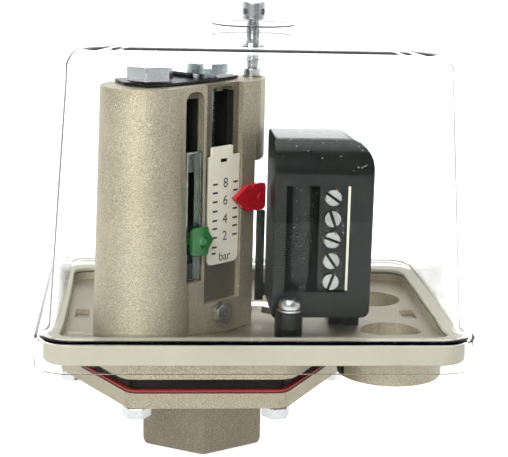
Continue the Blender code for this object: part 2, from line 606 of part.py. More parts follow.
def switch_block():
    """Black moulded switch case with the terminal recess, the thumb hollow and its feet."""
    (left, right), (front, back), (low, high) = BLOCK_X, BLOCK_Y, BLOCK_Z
    face = rounded([(left, low), (right, low), (right, high), (left, high)], [0.8, 2.5, 7.8, 1.2], 6)
    part = add_part("switch_block", prism_mesh(face, -back, -front), BLACK, turn=ALONG_Y)
    side = rounded([(front, low - 1.0), (back + 1.0, low - 1.0), (back + 1.0, high + 1.0), (front, high)],
                   [0.0, 0.0, 0.0, 11.0], 7)
    change(part, prism_mesh(side, left - 1.0, right + 1.0), "INTERSECT",
           turn=(math.radians(90.0), 0.0, math.radians(90.0)))
    cut(part, box_mesh((STRIP_X[0], front - 1.0, 9.6), (STRIP_X[1], -23.6, 43.5)))
    cut(part, round_mesh(5.2, 9.6, 43.5, (14.3, front + 0.6), 32))
    cut(part, box_mesh((7.6, -13.2, low - 1.0), (24.2, -6.8, 15.6)))
    join(part, box_mesh((6.5, HOLD_AT[1], TOWER_LOW), (14.7, front + 0.5, 4.8)))
    join(part, round_mesh(4.1, TOWER_LOW, 4.8, HOLD_AT, 28))
    join(part, box_mesh((26.0, -14.0, TOWER_LOW), (36.0, -5.0, low + 0.5)))
    cut(part, round_mesh(2.1, -3.0, 6.0, HOLD_AT, 20))


def block_screw():
    """Slotted pan-head screw and washer on the switch block's front foot."""
    profile = [(0.0, 9.0), (2.2, 8.9), (3.3, 8.2), (3.6, 7.2), (3.6, 6.0), (1.8, 6.0), (1.8, -2.0), (0.0, -2.0)]
    part = turned("block_screw", profile, ZINC, HOUSING, HOLD_AT, 28)
    cut(part, box_mesh((-5.0, -0.5, 7.9), (5.0, 0.5, 10.0)), at=(*HOLD_AT, 0.0),
        turn=(0.0, 0.0, math.radians(20.0)))
    washer = add_part("block_screw_washer", round_mesh(4.1, 5.1, 5.7, segments=28), ZINC, at=(*HOLD_AT, 0.0))
    cut(washer, round_mesh(2.1, 4.0, 7.0, HOLD_AT, 20))


def terminal_heights():
    return [TERMINAL_LOW + TERMINAL_PITCH * index for index in reversed(range(TERMINALS))]


def terminal_strip():
    """Strip in the block's recess with a screw well and a clamp pocket for each terminal."""
    part = add_part("terminal_strip", box_mesh((STRIP_X[0] + GAP, -30.4, 9.9), (STRIP_X[1] - GAP, -23.9, 43.2)),
                    BLACK)
    for z in terminal_heights():
        cut(part, round_mesh(2.95, 28.2, 32.0, (TERMINAL_X, z), 28), turn=ALONG_Y)
        cut(part, box_mesh((TERMINAL_X - 2.7, -28.4, z - 2.3), (TERMINAL_X + 2.7, -24.6, z + 2.3)))


def terminals():
    """Slotted terminal screws and the clamps that they draw forward."""
    for index, z in enumerate(terminal_heights(), start=1):
        profile_turn = math.radians((35.0, 70.0, 20.0, 55.0, 110.0)[index - 1])
        screw = add_part("terminal_screw_%d" % index, round_mesh(2.55, 29.2, 30.9, segments=24), ZINC,
                         at=(TERMINAL_X, 0.0, z), turn=ALONG_Y)
        join(screw, round_mesh(1.2, 25.0, 29.6, segments=12), at=(TERMINAL_X, 0.0, z), turn=ALONG_Y)
        cut(screw, box_mesh((-4.0, -0.45, 30.3), (4.0, 0.45, 32.0)), at=(TERMINAL_X, 0.0, z),
            turn=(math.radians(90.0), profile_turn, 0.0))
        clamp = add_part("terminal_clamp_%d" % index, box_mesh((-2.2, -26.2, -1.9), (2.2, -25.2, 1.9)), BRASS,
                         at=(TERMINAL_X, 0.0, z))
        cut(clamp, round_mesh(1.5, 24.0, 28.0, segments=16), at=(TERMINAL_X, 0.0, z), turn=ALONG_Y)


def switch_inside():
    """Plunger that the rocker lifts and the contact arm above it."""
    x, y = PLUNGER_AT
    plunger = add_part("switch_plunger", round_mesh(1.6, -0.8, 12.2, segments=20), BLACK, at=(x, y, 0.0))
    join(plunger, round_mesh(2.4, 9.0, 10.4, (x, y), 20))
    add_part("contact_arm", box_mesh((-13.4, -2.0, -0.3), (0.0, 2.0, 0.3)), BRASS, at=(22.4, y, 12.9))


# ---- Assembly -------------------------------------------------------------------------------
base_housing()
cover_seal()
clear_cover()
cover_screw()
cover_screw_clip()
spring_tower()
screw_collar()
adjusting_screws()
lock_plate()
coil("main_spring", MAIN, 7.3, 1.0, -0.9, MAIN_NUT_Z - GAP, 7, 14)
coil("differential_spring", DIFF, 4.9, 0.7, 3.7, DIFF_NUT_Z - GAP, 10, 12)
carriers()
pointer_guide()
green_pointer()
red_pointer()
scale_plate()
guide_bar()
tower_bolt()
pressure_flange()
flange_bolts()
diaphragm()
diaphragm_plate()
rocker()
switch_block()
block_screw()
terminal_strip()
terminals()
switch_inside()
bpy.context.view_layer.update()
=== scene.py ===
"""Pressure switch in its studio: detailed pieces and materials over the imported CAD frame."""
import json
import math

import bmesh
import bpy
from mathutils import Matrix, Vector


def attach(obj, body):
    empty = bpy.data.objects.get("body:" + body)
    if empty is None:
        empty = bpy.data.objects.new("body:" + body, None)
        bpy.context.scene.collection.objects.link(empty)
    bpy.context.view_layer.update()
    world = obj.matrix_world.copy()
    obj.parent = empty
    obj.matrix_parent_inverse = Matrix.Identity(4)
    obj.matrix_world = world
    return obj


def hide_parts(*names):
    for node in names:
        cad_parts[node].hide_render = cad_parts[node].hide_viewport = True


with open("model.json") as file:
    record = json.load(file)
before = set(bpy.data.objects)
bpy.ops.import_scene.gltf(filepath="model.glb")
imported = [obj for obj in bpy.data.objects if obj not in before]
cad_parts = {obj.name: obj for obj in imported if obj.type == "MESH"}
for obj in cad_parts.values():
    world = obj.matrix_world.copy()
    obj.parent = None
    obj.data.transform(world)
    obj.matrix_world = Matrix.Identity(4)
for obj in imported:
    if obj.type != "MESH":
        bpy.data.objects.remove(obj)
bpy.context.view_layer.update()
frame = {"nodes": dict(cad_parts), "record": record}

MM = 0.001
SEAT = 48.8                      # shelf of the cover above the port's mouth
TURN = math.radians(43.0)        # direction of the line through the tower's columns
MAIN = (-44.2, 1.5)
DIFF = (-20.9, 0.0)
PORT_X = -14.7

NODES = frame["nodes"]
RECORD = frame["record"]
BODY_OF = {node: body for body, members in RECORD["behaviour"]["bodies"].items() for node in members}
SLOT_OF = {entry["node"]: entry["material_slot"] for entry in RECORD["subparts"]}
HOUSING = Matrix.Translation((0.0, 0.0, SEAT * MM))
TOWER = HOUSING @ Matrix.Rotation(TURN, 4, "Z")


# ---- Node-tree helpers ------------------------------------------------------------------------
class Tree:
    """Short way to build a material from nodes, all of them in the piece's own coordinates."""

    def __init__(self, name):
        self.material = bpy.data.materials.new(name)
        self.material.use_nodes = True
        self.nodes = self.material.node_tree.nodes
        self.links = self.material.node_tree.links
        self.shader = self.nodes["Principled BSDF"]
        self.place = self.nodes.new("ShaderNodeTexCoord").outputs["Object"]

    def link(self, source, target):
        self.links.new(source, target)

    def node(self, kind, **values):
        made = self.nodes.new("ShaderNode" + kind)
        for key, value in values.items():
            setattr(made, key, value)
        return made

    def noise(self, scale, detail=4.0, rough=0.6, stretch=None):
        made = self.node("TexNoise")
        made.inputs["Scale"].default_value = scale
        made.inputs["Detail"].default_value = detail
        made.inputs["Roughness"].default_value = rough
        self.link(self.stretched(stretch), made.inputs["Vector"])
        return made.outputs["Fac"]

    def stretched(self, stretch):
        if stretch is None:
            return self.place
        mapping = self.node("Mapping")
        mapping.inputs["Scale"].default_value = stretch
        self.link(self.place, mapping.inputs["Vector"])
        return mapping.outputs["Vector"]

    def cells(self, scale):
        made = self.node("TexVoronoi")
        made.inputs["Scale"].default_value = scale
        self.link(self.place, made.inputs["Vector"])
        return made

    def ramp(self, source, stops):
        made = self.node("ValToRGB")
        ramp = made.color_ramp
        while len(ramp.elements) < len(stops):
            ramp.elements.new(0.5)
        for element, (at, colour) in zip(ramp.elements, stops):
            element.position = at
            shade = colour if isinstance(colour, tuple) else (colour,) * 3
            element.color = (*shade, 1.0)
        self.link(source, made.inputs["Fac"])
        return made.outputs["Color"]

    def span(self, source, low, high, start=0.0, end=1.0):
        made = self.node("MapRange")
        for key, value in (("From Min", start), ("From Max", end), ("To Min", low), ("To Max", high)):
            made.inputs[key].default_value = value
        self.link(source, made.inputs["Value"])
        return made.outputs["Result"]

    def mix(self, factor, first, second):
        made = self.node("Mix", data_type="RGBA")
        self.link(factor, made.inputs["Factor"])
        for value, socket in ((first, made.inputs["A"]), (second, made.inputs["B"])):
            if isinstance(value, tuple):
                socket.default_value = (*value, 1.0)
            else:
                self.link(value, socket)
        return made.outputs["Result"]

    def math(self, operation, first, second):
        made = self.node("Math", operation=operation)
        for value, socket in ((first, made.inputs[0]), (second, made.inputs[1])):
            if isinstance(value, (int, float)):
                socket.default_value = value
            else:
                self.link(value, socket)
        return made.outputs["Value"]

    def bump(self, height, strength, distance):
        made = self.node("Bump")
        made.inputs["Strength"].default_value = strength
        made.inputs["Distance"].default_value = distance
        self.link(height, made.inputs["Height"])
        self.link(made.outputs["Normal"], self.shader.inputs["Normal"])

    def set(self, **values):
        for key, value in values.items():
            self.shader.inputs[key.replace("_", " ")].default_value = value

    def colour(self, source):
        self.link(source, self.shader.inputs["Base Color"])

    def roughness(self, source):
        self.link(source, self.shader.inputs["Roughness"])


def cast_material(name="cast_aluminium", shade=1.0):
    """Blasted die-cast aluminium: warm grey with a dense fine grain and painted glints from its crystals."""
    t = Tree(name)
    broad = t.noise(70.0, 4.0)
    base = t.ramp(broad, [(0.3, tuple(shade * part for part in (0.36, 0.32, 0.235))),
                          (0.7, tuple(shade * part for part in (0.43, 0.385, 0.285)))])
    grain = t.noise(2700.0, 2.0, 0.6)
    low = t.mix(t.span(grain, 0.45, 0.0, 0.36, 0.5), base, (0.15, 0.135, 0.105))
    tone = t.mix(t.span(grain, 0.0, 0.45 * shade, 0.5, 0.66), low, (0.72, 0.66, 0.52))
    # Painted glints: bright specks mixed into the colour in place of the sparkle of the cast crystals.
    crystals = t.cells(2600.0)
    painted_glint = t.ramp(crystals.outputs["Color"], [(0.93, 0.0), (0.97, 0.6 * shade)])
    t.colour(t.mix(painted_glint, tone, (0.85, 0.80, 0.66)))
    t.roughness(t.span(grain, 0.40, 0.58, 0.3, 0.7))
    t.bump(grain, 0.5, 0.0003)
    t.set(Metallic=0.7)
    return t.material


def zinc_material(name="zinc_steel", tint=(0.66, 0.68, 0.68), dark=(0.54, 0.57, 0.59), rough=(0.16, 0.3)):
    """Plated steel: cool bright metal with faint turning marks and dull patches."""
    t = Tree(name)
    patches = t.noise(180.0, 4.0)
    t.colour(t.ramp(patches, [(0.32, dark), (0.66, tint)]))
    marks = t.noise(900.0, 3.0, 0.6, (1.0, 1.0, 7.0))
    t.roughness(t.span(marks, rough[0], rough[1], 0.3, 0.7))
    t.bump(marks, 0.05, 0.0001)
    t.set(Metallic=1.0)
    return t.material


def black_plastic_material():
    """Glossy moulded phenolic, slightly brown-green, with fine dust on it."""
    t = Tree("black_plastic")
    flow = t.noise(60.0, 4.0)
    base = t.ramp(flow, [(0.3, (0.004, 0.006, 0.005)), (0.75, (0.008, 0.010, 0.008))])
    dust = t.cells(800.0)
    near = t.ramp(dust.outputs["Distance"], [(0.10, 1.0), (0.20, 0.0)])
    chosen = t.ramp(dust.outputs["Color"], [(0.66, 0.0), (0.72, 0.7)])
    specks = t.math("MULTIPLY", near, chosen)
    t.colour(t.mix(specks, base, (0.50, 0.52, 0.52)))
    peel = t.noise(300.0, 2.0)
    t.roughness(t.span(peel, 0.17, 0.22, 0.3, 0.7))
    t.bump(t.math("ADD", t.math("MULTIPLY", peel, 0.2), t.math("MULTIPLY", specks, 0.5)), 0.05, 0.0002)
    t.set(IOR=1.5, Specular_IOR_Level=0.4)
    return t.material


def gloss_material(name, deep, bright, rough=0.2):
    """Glossy coloured moulding with a faint colour flow."""
    t = Tree(name)
    flow = t.noise(160.0, 3.0)
    t.colour(t.ramp(flow, [(0.3, deep), (0.7, bright)]))
    t.roughness(t.span(t.noise(900.0, 2.0), rough, rough + 0.08, 0.3, 0.7))
    t.bump(flow, 0.03, 0.0002)
    t.set(Coat_Weight=0.3, Coat_Roughness=0.1)
    return t.material


def soft_material(name, deep, bright, grain=700.0, strength=0.3, rough=(0.5, 0.7), shine=0.5):
    """Matt rubber, foam or card with a fine grain."""
    t = Tree(name)
    t.colour(t.ramp(t.noise(45.0, 6.0), [(0.3, deep), (0.7, bright)]))
    fine = t.noise(grain, 4.0, 0.7)
    t.roughness(t.span(fine, rough[0], rough[1], 0.3, 0.7))
    t.bump(fine, strength, 0.0002)
    t.set(Specular_IOR_Level=shine)
    return t.material


def clear_material():
    """Clear moulded plastic with a faint unevenness in its surface."""
    t = Tree("clear_plastic")
    wave = t.noise(28.0, 2.0)
    haze = t.noise(420.0, 4.0)
    t.roughness(t.span(haze, 0.0, 0.035, 0.45, 0.8))
    t.bump(wave, 0.02, 0.0005)
    t.set(Transmission_Weight=1.0, IOR=1.49)
    t.shader.inputs["Specular Tint"].default_value = (0.12, 0.12, 0.12, 1.0)
    t.shader.inputs["Base Color"].default_value = (0.985, 0.995, 0.992, 1.0)
    return t.material


def thin_clear_material():
    """The clear boss: see-through, with a painted darkening where it is seen along its wall."""
    t = Tree("clear_boss")
    # Painted darkening: the dark base colour becomes opaque at grazing angles, standing in for refraction at
    # the wall.
    edge = t.node("LayerWeight")
    edge.inputs["Blend"].default_value = 0.5
    shaped = t.math("POWER", edge.outputs["Facing"], 7.0)
    t.link(t.span(shaped, 0.02, 0.8), t.shader.inputs["Alpha"])
    t.roughness(t.span(t.noise(300.0, 3.0), 0.04, 0.1, 0.4, 0.7))
    t.shader.inputs["Base Color"].default_value = (0.22, 0.24, 0.24, 1.0)
    t.set(IOR=1.3)
    return t.material


MATERIALS = {
    "cast_metal": cast_material(),
    "cast_shaded": cast_material("cast_shaded", 0.35),
    "zinc_steel": zinc_material(),
    "bright_steel": zinc_material(
        "bright_steel", (0.86, 0.87, 0.86), (0.62, 0.64, 0.64), (0.08, 0.2)),
    "spring_steel": zinc_material(
        "spring_steel", (0.34, 0.34, 0.35), (0.2, 0.2, 0.21), (0.25, 0.42)),
    "blackened_steel": zinc_material(
        "blackened_steel", (0.06, 0.06, 0.065), (0.03, 0.03, 0.034), (0.3, 0.5)),
    "clear_plastic": clear_material(),
    "seal": soft_material(
        "seal", (0.36, 0.345, 0.27), (0.41, 0.395, 0.315), 500.0, 0.15, (0.45, 0.6)),
    "screw_steel": zinc_material(
        "screw_steel", (0.50, 0.52, 0.50), (0.38, 0.40, 0.39), (0.22, 0.34)),
    "guide_steel": zinc_material(
        "guide_steel", (0.34, 0.37, 0.34), (0.24, 0.27, 0.245), (0.14, 0.24)),
    # Painted dark line for the clear boss's edge, standing in for its refraction.
    "painted_dark_edge": soft_material(
        "painted_dark_edge", (0.05, 0.055, 0.055), (0.10, 0.105, 0.10), 900.0, 0.05, (0.2, 0.3)),
    # Dull black for the switch block's side, and painted shade on the bores, the neck, the bolt shanks and
    # the screw slots.
    "dull_black_and_painted_shade": soft_material(
        "dull_black_and_painted_shade", (0.006, 0.007, 0.005), (0.016, 0.016, 0.013), 900.0, 0.2, shine=0.12),
    "blue_zinc": zinc_material(
        "blue_zinc", (0.36, 0.42, 0.44), (0.24, 0.29, 0.31), (0.2, 0.34)),
    # Darker copy of the cast finish: painted shade on the tray floor and the port boss.
    "cast_painted_shade": cast_material("cast_painted_shade", 0.62),
    "clear_boss": thin_clear_material(),
    "red_plastic": gloss_material("red_plastic", (0.36, 0.008, 0.016), (0.46, 0.012, 0.024)),
    "green_plastic": gloss_material("green_plastic", (0.004, 0.085, 0.012), (0.006, 0.12, 0.018)),
    "scale_card": soft_material(
        "scale_card", (0.62, 0.60, 0.50), (0.70, 0.68, 0.58), 900.0, 0.12, (0.35, 0.5)),
    "black_plastic": black_plastic_material(),
    "red_rubber": soft_material(
        "red_rubber", (0.26, 0.02, 0.018), (0.36, 0.035, 0.03), 900.0, 0.25),
    "brass": zinc_material("brass", (0.78, 0.58, 0.24), (0.60, 0.42, 0.16), (0.2, 0.36)),
    "ink": soft_material("ink", (0.012, 0.012, 0.012), (0.03, 0.03, 0.03), 1500.0, 0.1),
}


# ---- Mesh helpers -----------------------------------------------------------------------------
def new_piece(name, mesh, slot, body, *replaced):
    """A piece with its material that rides on a body and may stand for CAD nodes."""
    piece = bpy.data.objects.new(name, mesh)
    bpy.context.scene.collection.objects.link(piece)
    piece.data.materials.clear()
    piece.data.materials.append(MATERIALS[slot])
    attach(piece, body)
    if replaced:
        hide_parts(*replaced)
    return piece


def soften(piece, width, segments=2, angle=28.0):
    """Rounds the hard edges of a piece and keeps its flat faces flat in the shading."""
    bevel = piece.modifiers.new("edges", "BEVEL")
    bevel.width = width * MM
    bevel.segments = segments
    bevel.limit_method = "ANGLE"
    bevel.angle_limit = math.radians(angle)
    normals = piece.modifiers.new("normals", "WEIGHTED_NORMAL")
    normals.keep_sharp = True
    normals.weight = 80


def clean_copy(node):
    """The node's mesh with its flat faces joined up again."""
    bm = bmesh.new()
    bm.from_mesh(NODES[node].data)
    bmesh.ops.remove_doubles(bm, verts=bm.verts, dist=2e-6)
    bmesh.ops.dissolve_limit(bm, angle_limit=math.radians(0.6), verts=bm.verts, edges=bm.edges)
    bmesh.ops.recalc_face_normals(bm, faces=bm.faces)
    mesh = bpy.data.meshes.new(node + "_fine")
    bm.to_mesh(mesh)
    bm.free()
    mesh.shade_smooth()
    mesh.set_sharp_from_angle(angle=math.radians(40.0))
    return mesh


def refine(node, width, segments=2, finish=None):
    piece = new_piece(node + "_fine", clean_copy(node), SLOT_OF[node], BODY_OF[node], node)
    if finish:
        piece.data.materials[0] = MATERIALS[finish]
    soften(piece, width, segments)
    return piece


def tone(piece, finish, chosen):
    """Gives the chosen faces (by centre, in the frame) another finish."""
    piece.data.materials.append(MATERIALS[finish])
    for face in piece.data.polygons:
        if chosen(face.center / MM, face.normal):
            face.material_index = len(piece.data.materials) - 1
    return piece


def inside_tower(centre, normal):
    """Faces of the two bores and of the windows cut into them, painted black as shade."""
    spot = TOWER.inverted() @ (centre * MM) / MM
    if not 3.0 < spot.z < 71.0:
        return False
    for axis, reach in ((MAIN, 9.7), (DIFF, 6.6)):
        if Vector((spot.x - axis[0], spot.y - axis[1])).length < reach:
            return True
    return -39.0 < spot.x < -15.0 and -7.3 < spot.y < 5.0


def recess_floor(centre, normal):
    """Floors of the scale's recess and the pointer's channel."""
    spot = TOWER.inverted() @ (centre * MM) / MM
    return -39.4 < spot.x < -14.0 and -7.7 < spot.y < -6.8 and spot.z < 72.0 and normal.z < 0.3


def tray_floor(centre, normal):
    """Upward faces inside the tray's rim, given a darker copy of the cast finish as painted shade."""
    return SEAT - 9.5 < centre.z < SEAT - 4.2 and normal.z > 0.5


def block_side(centre, normal):
    """The switch block's face towards the tower."""
    return normal.x < -0.6 and centre.x < 8.0


def on_port(centre, normal):
    """The spanner boss under the flange, given a darker copy of the cast finish as painted shade."""
    return centre.z < 23.4


def bolt_shank(centre, normal):
    """The part of a flange bolt between the flange and the tray, painted black as shade."""
    return 29.4 < centre.z < 36.0


def in_slot(centre, normal):
    """Walls and floors of the terminal screws' slots, painted black as shade."""
    return centre.y > -30.7


def in_neck(centre, normal):
    """Upright faces of the hexagonal neck over the diaphragm, painted black as shade."""
    return 29.5 < centre.z < SEAT - 13.4 and abs(normal.z) < 0.3 and centre.x < 30.0


def turned(name, profile, place, slot, body, *replaced, steps=48, width=0.0):
    """A turned piece from radius and height pairs, in millimetres, closed on the axis or on itself."""
    bm = bmesh.new()
    rows = []
    for index in range(steps):
        angle = index * 2.0 * math.pi / steps
        spoke = Vector((math.cos(angle), math.sin(angle), 0.0))
        rows.append([bm.verts.new((spoke * r + Vector((0.0, 0.0, z))) * MM) for r, z in profile])
    for index, row in enumerate(rows):
        after = rows[(index + 1) % steps]
        for step in range(len(profile) - 1):
            bm.faces.new((row[step], after[step], after[step + 1], row[step + 1]))
    bmesh.ops.remove_doubles(bm, verts=bm.verts, dist=1e-7)
    bmesh.ops.recalc_face_normals(bm, faces=bm.faces)
    bm.transform(place)
    mesh = bpy.data.meshes.new(name)
    bm.to_mesh(mesh)
    bm.free()
    mesh.shade_smooth()
    mesh.set_sharp_from_angle(angle=math.radians(35.0))
    piece = new_piece(name, mesh, slot, body, *replaced)
    if width:
        soften(piece, width)
    return piece


def block(name, low, high, place, slot, body, width=0.1):
    """A small rectangular bar with rounded edges, in millimetres in its own frame."""
    size = Vector(high) - Vector(low)
    middle = (Vector(high) + Vector(low)) / 2.0
    bm = bmesh.new()
    bmesh.ops.create_cube(bm, size=1.0, matrix=Matrix.Translation(middle) @ Matrix.Diagonal((*size, 1.0)))
    bmesh.ops.bevel(bm, geom=list(bm.edges), offset=width, segments=2, profile=0.5, affect="EDGES")
    bmesh.ops.scale(bm, vec=(MM, MM, MM), verts=bm.verts)
    bm.transform(place)
    mesh = bpy.data.meshes.new(name)
    bm.to_mesh(mesh)
    bm.free()
    mesh.shade_smooth()
    mesh.set_sharp_from_angle(angle=math.radians(35.0))
    return new_piece(name, mesh, slot, body)


def ring_outline(half, radius, steps):
    """A rounded rectangle as points, counterclockwise."""
    points = []
    for quarter, (sx, sy) in enumerate(((1, 1), (-1, 1), (-1, -1), (1, -1))):
        for step in range(steps + 1):
            angle = (quarter + step / steps) * math.pi / 2.0
            points.append((sx * (half[0] - radius) + radius * math.cos(angle),
                           sy * (half[1] - radius) + radius * math.sin(angle)))
    return points


# ---- Clear cover ------------------------------------------------------------------------------
COVER = (63.5, 49.5)             # half width and half depth of the hood's body at its foot
STEP = 4.5                       # width of the shelf between skirt and body
SKIRT_LOW = -10.35
SKIRT_R = 11.0                   # corner radius of the skirt
LIP_R = 1.5                      # fillet between skirt and shelf
FOOT_R = 2.4                     # fillet between shelf and body
DRAFT = 5.0                      # inward lean of the walls
HEIGHT = 76.0                    # where the walls end and the roof's fillet starts
ROOF = 88.4
ROOF_R = 6.0                     # fillet between walls and roof
CROWN = (2.0, 1.0)               # fall of the roof at CROWN_AT, along X and along Y
CROWN_AT = (53.0, 42.0)
WALL = 1.6
BOSS = 13.7                      # radius of the boss for the hood's screw
BOSS_TOP = 90.8
SCREW_HOLE = 2.6


def roof_height(x, y, drop):
    """Height of the crowned roof's outer face, less a drop for the rounded edge."""
    return ROOF - CROWN[0] * (x / CROWN_AT[0]) ** 2 - CROWN[1] * (y / CROWN_AT[1]) ** 2 - drop


def cover_rings():
    """Rings of the hood's outer skin from the skirt's lip to the middle of the roof."""
    def level(inset, radius, z):
        return [(x, y, z) for x, y in ring_outline((COVER[0] - inset, COVER[1] - inset), radius, 10)]

    rings = [level(-STEP, SKIRT_R, z) for z in (SKIRT_LOW, -9.9, -LIP_R)]
    for step in range(1, 5):
        angle = step * math.pi / 8.0
        inset = LIP_R * (1.0 - math.cos(angle))
        rings.append(level(-STEP + inset, SKIRT_R, -LIP_R + LIP_R * math.sin(angle)))
    rings.append(level(-FOOT_R, 10.2, 0.0))
    for step in range(1, 6):
        angle = step * math.pi / 10.0
        rings.append(level(-FOOT_R * (1.0 - math.sin(angle)), 10.0 - 1.4 * math.sin(angle),
                           FOOT_R * (1.0 - math.cos(angle))))
    # Extra rings close to both ends of the walls keep their shading flat in between.
    for share in (0.015, 0.03, 0.5, 0.97, 0.985, 1.0):
        rings.append(level(DRAFT * share, 8.6 - 1.2 * share, FOOT_R + (HEIGHT - FOOT_R) * share))
    edge = (COVER[0] - DRAFT, COVER[1] - DRAFT)
    for step in range(1, 9):
        angle = step * math.pi / 18.0
        inset = ROOF_R * (1.0 - math.cos(angle))
        half = (edge[0] - inset, edge[1] - inset)
        drop = (1.0 - math.sin(angle)) * ROOF_R
        rings.append([(x, y, roof_height(x, y, drop)) for x, y in ring_outline(half, 7.4 - 0.25 * step, 10)])
    for share in (0.86, 0.76, 0.64, 0.5, 0.38, 0.29):
        half = (edge[0] * share, edge[1] * share)
        rings.append([(x, y, roof_height(x, y, 0.0)) for x, y in ring_outline(half, 5.4 * share, 10)])
    return rings


def clear_cover():
    """The hood as one thin shell, and on it the boss with a painted dark line along its upper edge, in place
    of the darkness a clear edge shows by refraction.
    """
    bm = bmesh.new()
    rows = [[bm.verts.new(Vector(point) * MM) for point in ring] for ring in cover_rings()]
    around = [math.atan2(vert.co.y, vert.co.x) for vert in rows[-1]]
    for radius in (BOSS, 8.0, 2.7):
        spots = [(radius * math.cos(angle), radius * math.sin(angle)) for angle in around]
        rows.append([bm.verts.new(Vector((x, y, roof_height(x, y, 0.0))) * MM) for x, y in spots])
    for lower, upper in zip(rows, rows[1:]):
        for index, corner in enumerate(lower):
            after = (index + 1) % len(lower)
            bm.faces.new((corner, lower[after], upper[after], upper[index]))
    bmesh.ops.recalc_face_normals(bm, faces=bm.faces)
    bmesh.ops.solidify(bm, geom=list(bm.faces), thickness=WALL * MM)
    bmesh.ops.recalc_face_normals(bm, faces=bm.faces)
    bm.transform(HOUSING)
    mesh = bpy.data.meshes.new("cover_shell")
    bm.to_mesh(mesh)
    bm.free()
    mesh.shade_smooth()
    mesh.set_sharp_from_angle(angle=math.radians(50.0))
    piece = new_piece("cover_shell", mesh, "clear_plastic", "cover", "clear_cover")
    piece.visible_shadow = False
    root = roof_height(BOSS, 0.0, 0.2)
    profile = [(BOSS, root), (BOSS - 0.2, BOSS_TOP - 0.5), (BOSS - 0.6, BOSS_TOP),
               (SCREW_HOLE + 0.2, BOSS_TOP), (SCREW_HOLE, BOSS_TOP - 0.2),
               (SCREW_HOLE, BOSS_TOP - 1.4), (SCREW_HOLE + 0.2, BOSS_TOP - WALL),
               (BOSS - 1.8, BOSS_TOP - WALL), (BOSS - WALL, root), (BOSS, root)]
    boss = turned("cover_boss", profile, HOUSING, "clear_boss", "cover", steps=64)
    boss.visible_shadow = False
    # Ring carrying the painted dark edge line on the clear boss.
    rim = [(BOSS - 0.62, BOSS_TOP), (BOSS - 0.3, BOSS_TOP - 0.05), (BOSS - 0.16, BOSS_TOP - 0.3),
           (BOSS - 0.3, BOSS_TOP - 0.5), (BOSS - 0.62, BOSS_TOP)]
    turned("cover_boss_painted_edge", rim, HOUSING, "painted_dark_edge", "cover", steps=64)


# ---- Scale and its printing -------------------------------------------------------------------
TICKS = ((8, 42.1), (7, 39.4), (6, 36.5), (5, 33.5), (4, 30.5), (3, 27.9), (2, 25.0), (1, 21.9))
ZERO_TICK = 19.9
FACE_Y = -8.8                    # front face of the scale, in the tower's frame


def printed(name, text, size, centre_a, centre_z):
    """One printed word or number, lying just on the scale's face."""
    curve = bpy.data.curves.new(name, "FONT")
    curve.body = text
    curve.align_x = "CENTER"
    curve.align_y = "CENTER"
    curve.size = size * MM
    curve.extrude = 0.00002
    holder = bpy.data.objects.new(name + "_outline", curve)
    bpy.context.scene.collection.objects.link(holder)
    bpy.context.view_layer.update()
    solid = holder.evaluated_get(bpy.context.evaluated_depsgraph_get())
    mesh = bpy.data.meshes.new_from_object(solid)
    bpy.data.objects.remove(holder)
    spot = Matrix.Translation(Vector((centre_a, FACE_Y - 0.03, centre_z)) * MM)
    mesh.transform(TOWER @ spot @ Matrix.Rotation(math.pi / 2.0, 4, "X"))
    new_piece(name, mesh, "ink", "base")


def tick(name, start, end, z):
    """A printed mark between two distances along the tower's line."""
    block(name, (start, FACE_Y - 0.05, z - 0.3), (end, FACE_Y + 0.04, z + 0.3), TOWER, "ink", "base", 0.02)


def scale_printing():
    """Marks on both sides of the scale, with every second number and the unit between them."""
    for value, z in TICKS:
        if value > 1:
            tick("tick_right_%d" % value, -17.2, -15.1, z)
        tick("tick_left_%d" % value, -26.4, -24.2, z)
    tick("tick_left_0", -26.4, -24.6, ZERO_TICK)
    for value, z in TICKS:
        if value % 2 == 0:
            printed("number_%d" % value, str(value), 4.4, -20.7, z)
    printed("unit", "bar", 4.0, -20.6, 18.4)


# ---- Threads and small turned pieces ------------------------------------------------------------
def threaded(radius, pitch, low, high, depth):
    """Profile of a threaded rod from its top to its tip."""
    points = []
    z = high
    while z > low + pitch:
        points += [(radius, z), (radius, z - 0.15 * pitch), (radius - depth, z - 0.5 * pitch),
                   (radius - depth, z - 0.6 * pitch)]
        z -= pitch
    return points + [(radius - depth, low), (0.0, low)]


def screw_thread(name, axis, top, thread, body):
    """The threaded shank of an adjusting screw, closed at its top."""
    place = TOWER @ Matrix.Translation(Vector((*axis, 0.0)) * MM)
    turned(name, [(0.0, top)] + thread, place, "zinc_steel", body)


def adjusting_screws():
    """Threads of the main and the differential screw, just outside their plain shanks."""
    screw_thread("main_screw_thread", MAIN, 74.8, threaded(3.9, 1.25, 10.2, 74.8, 0.5), "main_screw")
    screw_thread("differential_screw_thread", DIFF, 75.9, threaded(2.9, 1.0, 20.2, 75.9, 0.4),
                 "differential_screw")


PIPE_PITCH = 1.814               # fourteen turns to the inch
PIPE_CORE = 9.05
PIPE_ROOT = 9.48


def port_thread():
    """Female thread inside the port's mouth."""
    profile = []
    z = 1.0
    while z < 15.5:
        profile += [(PIPE_ROOT, z), (PIPE_ROOT, z + 0.3), (PIPE_CORE, z + 0.9),
                    (PIPE_CORE, z + 1.1), (PIPE_ROOT, z + 1.75)]
        z += PIPE_PITCH
    place = Matrix.Translation((PORT_X * MM, 0.0, 0.0))
    turned("port_thread", profile, place, "cast_metal", "base", steps=56)


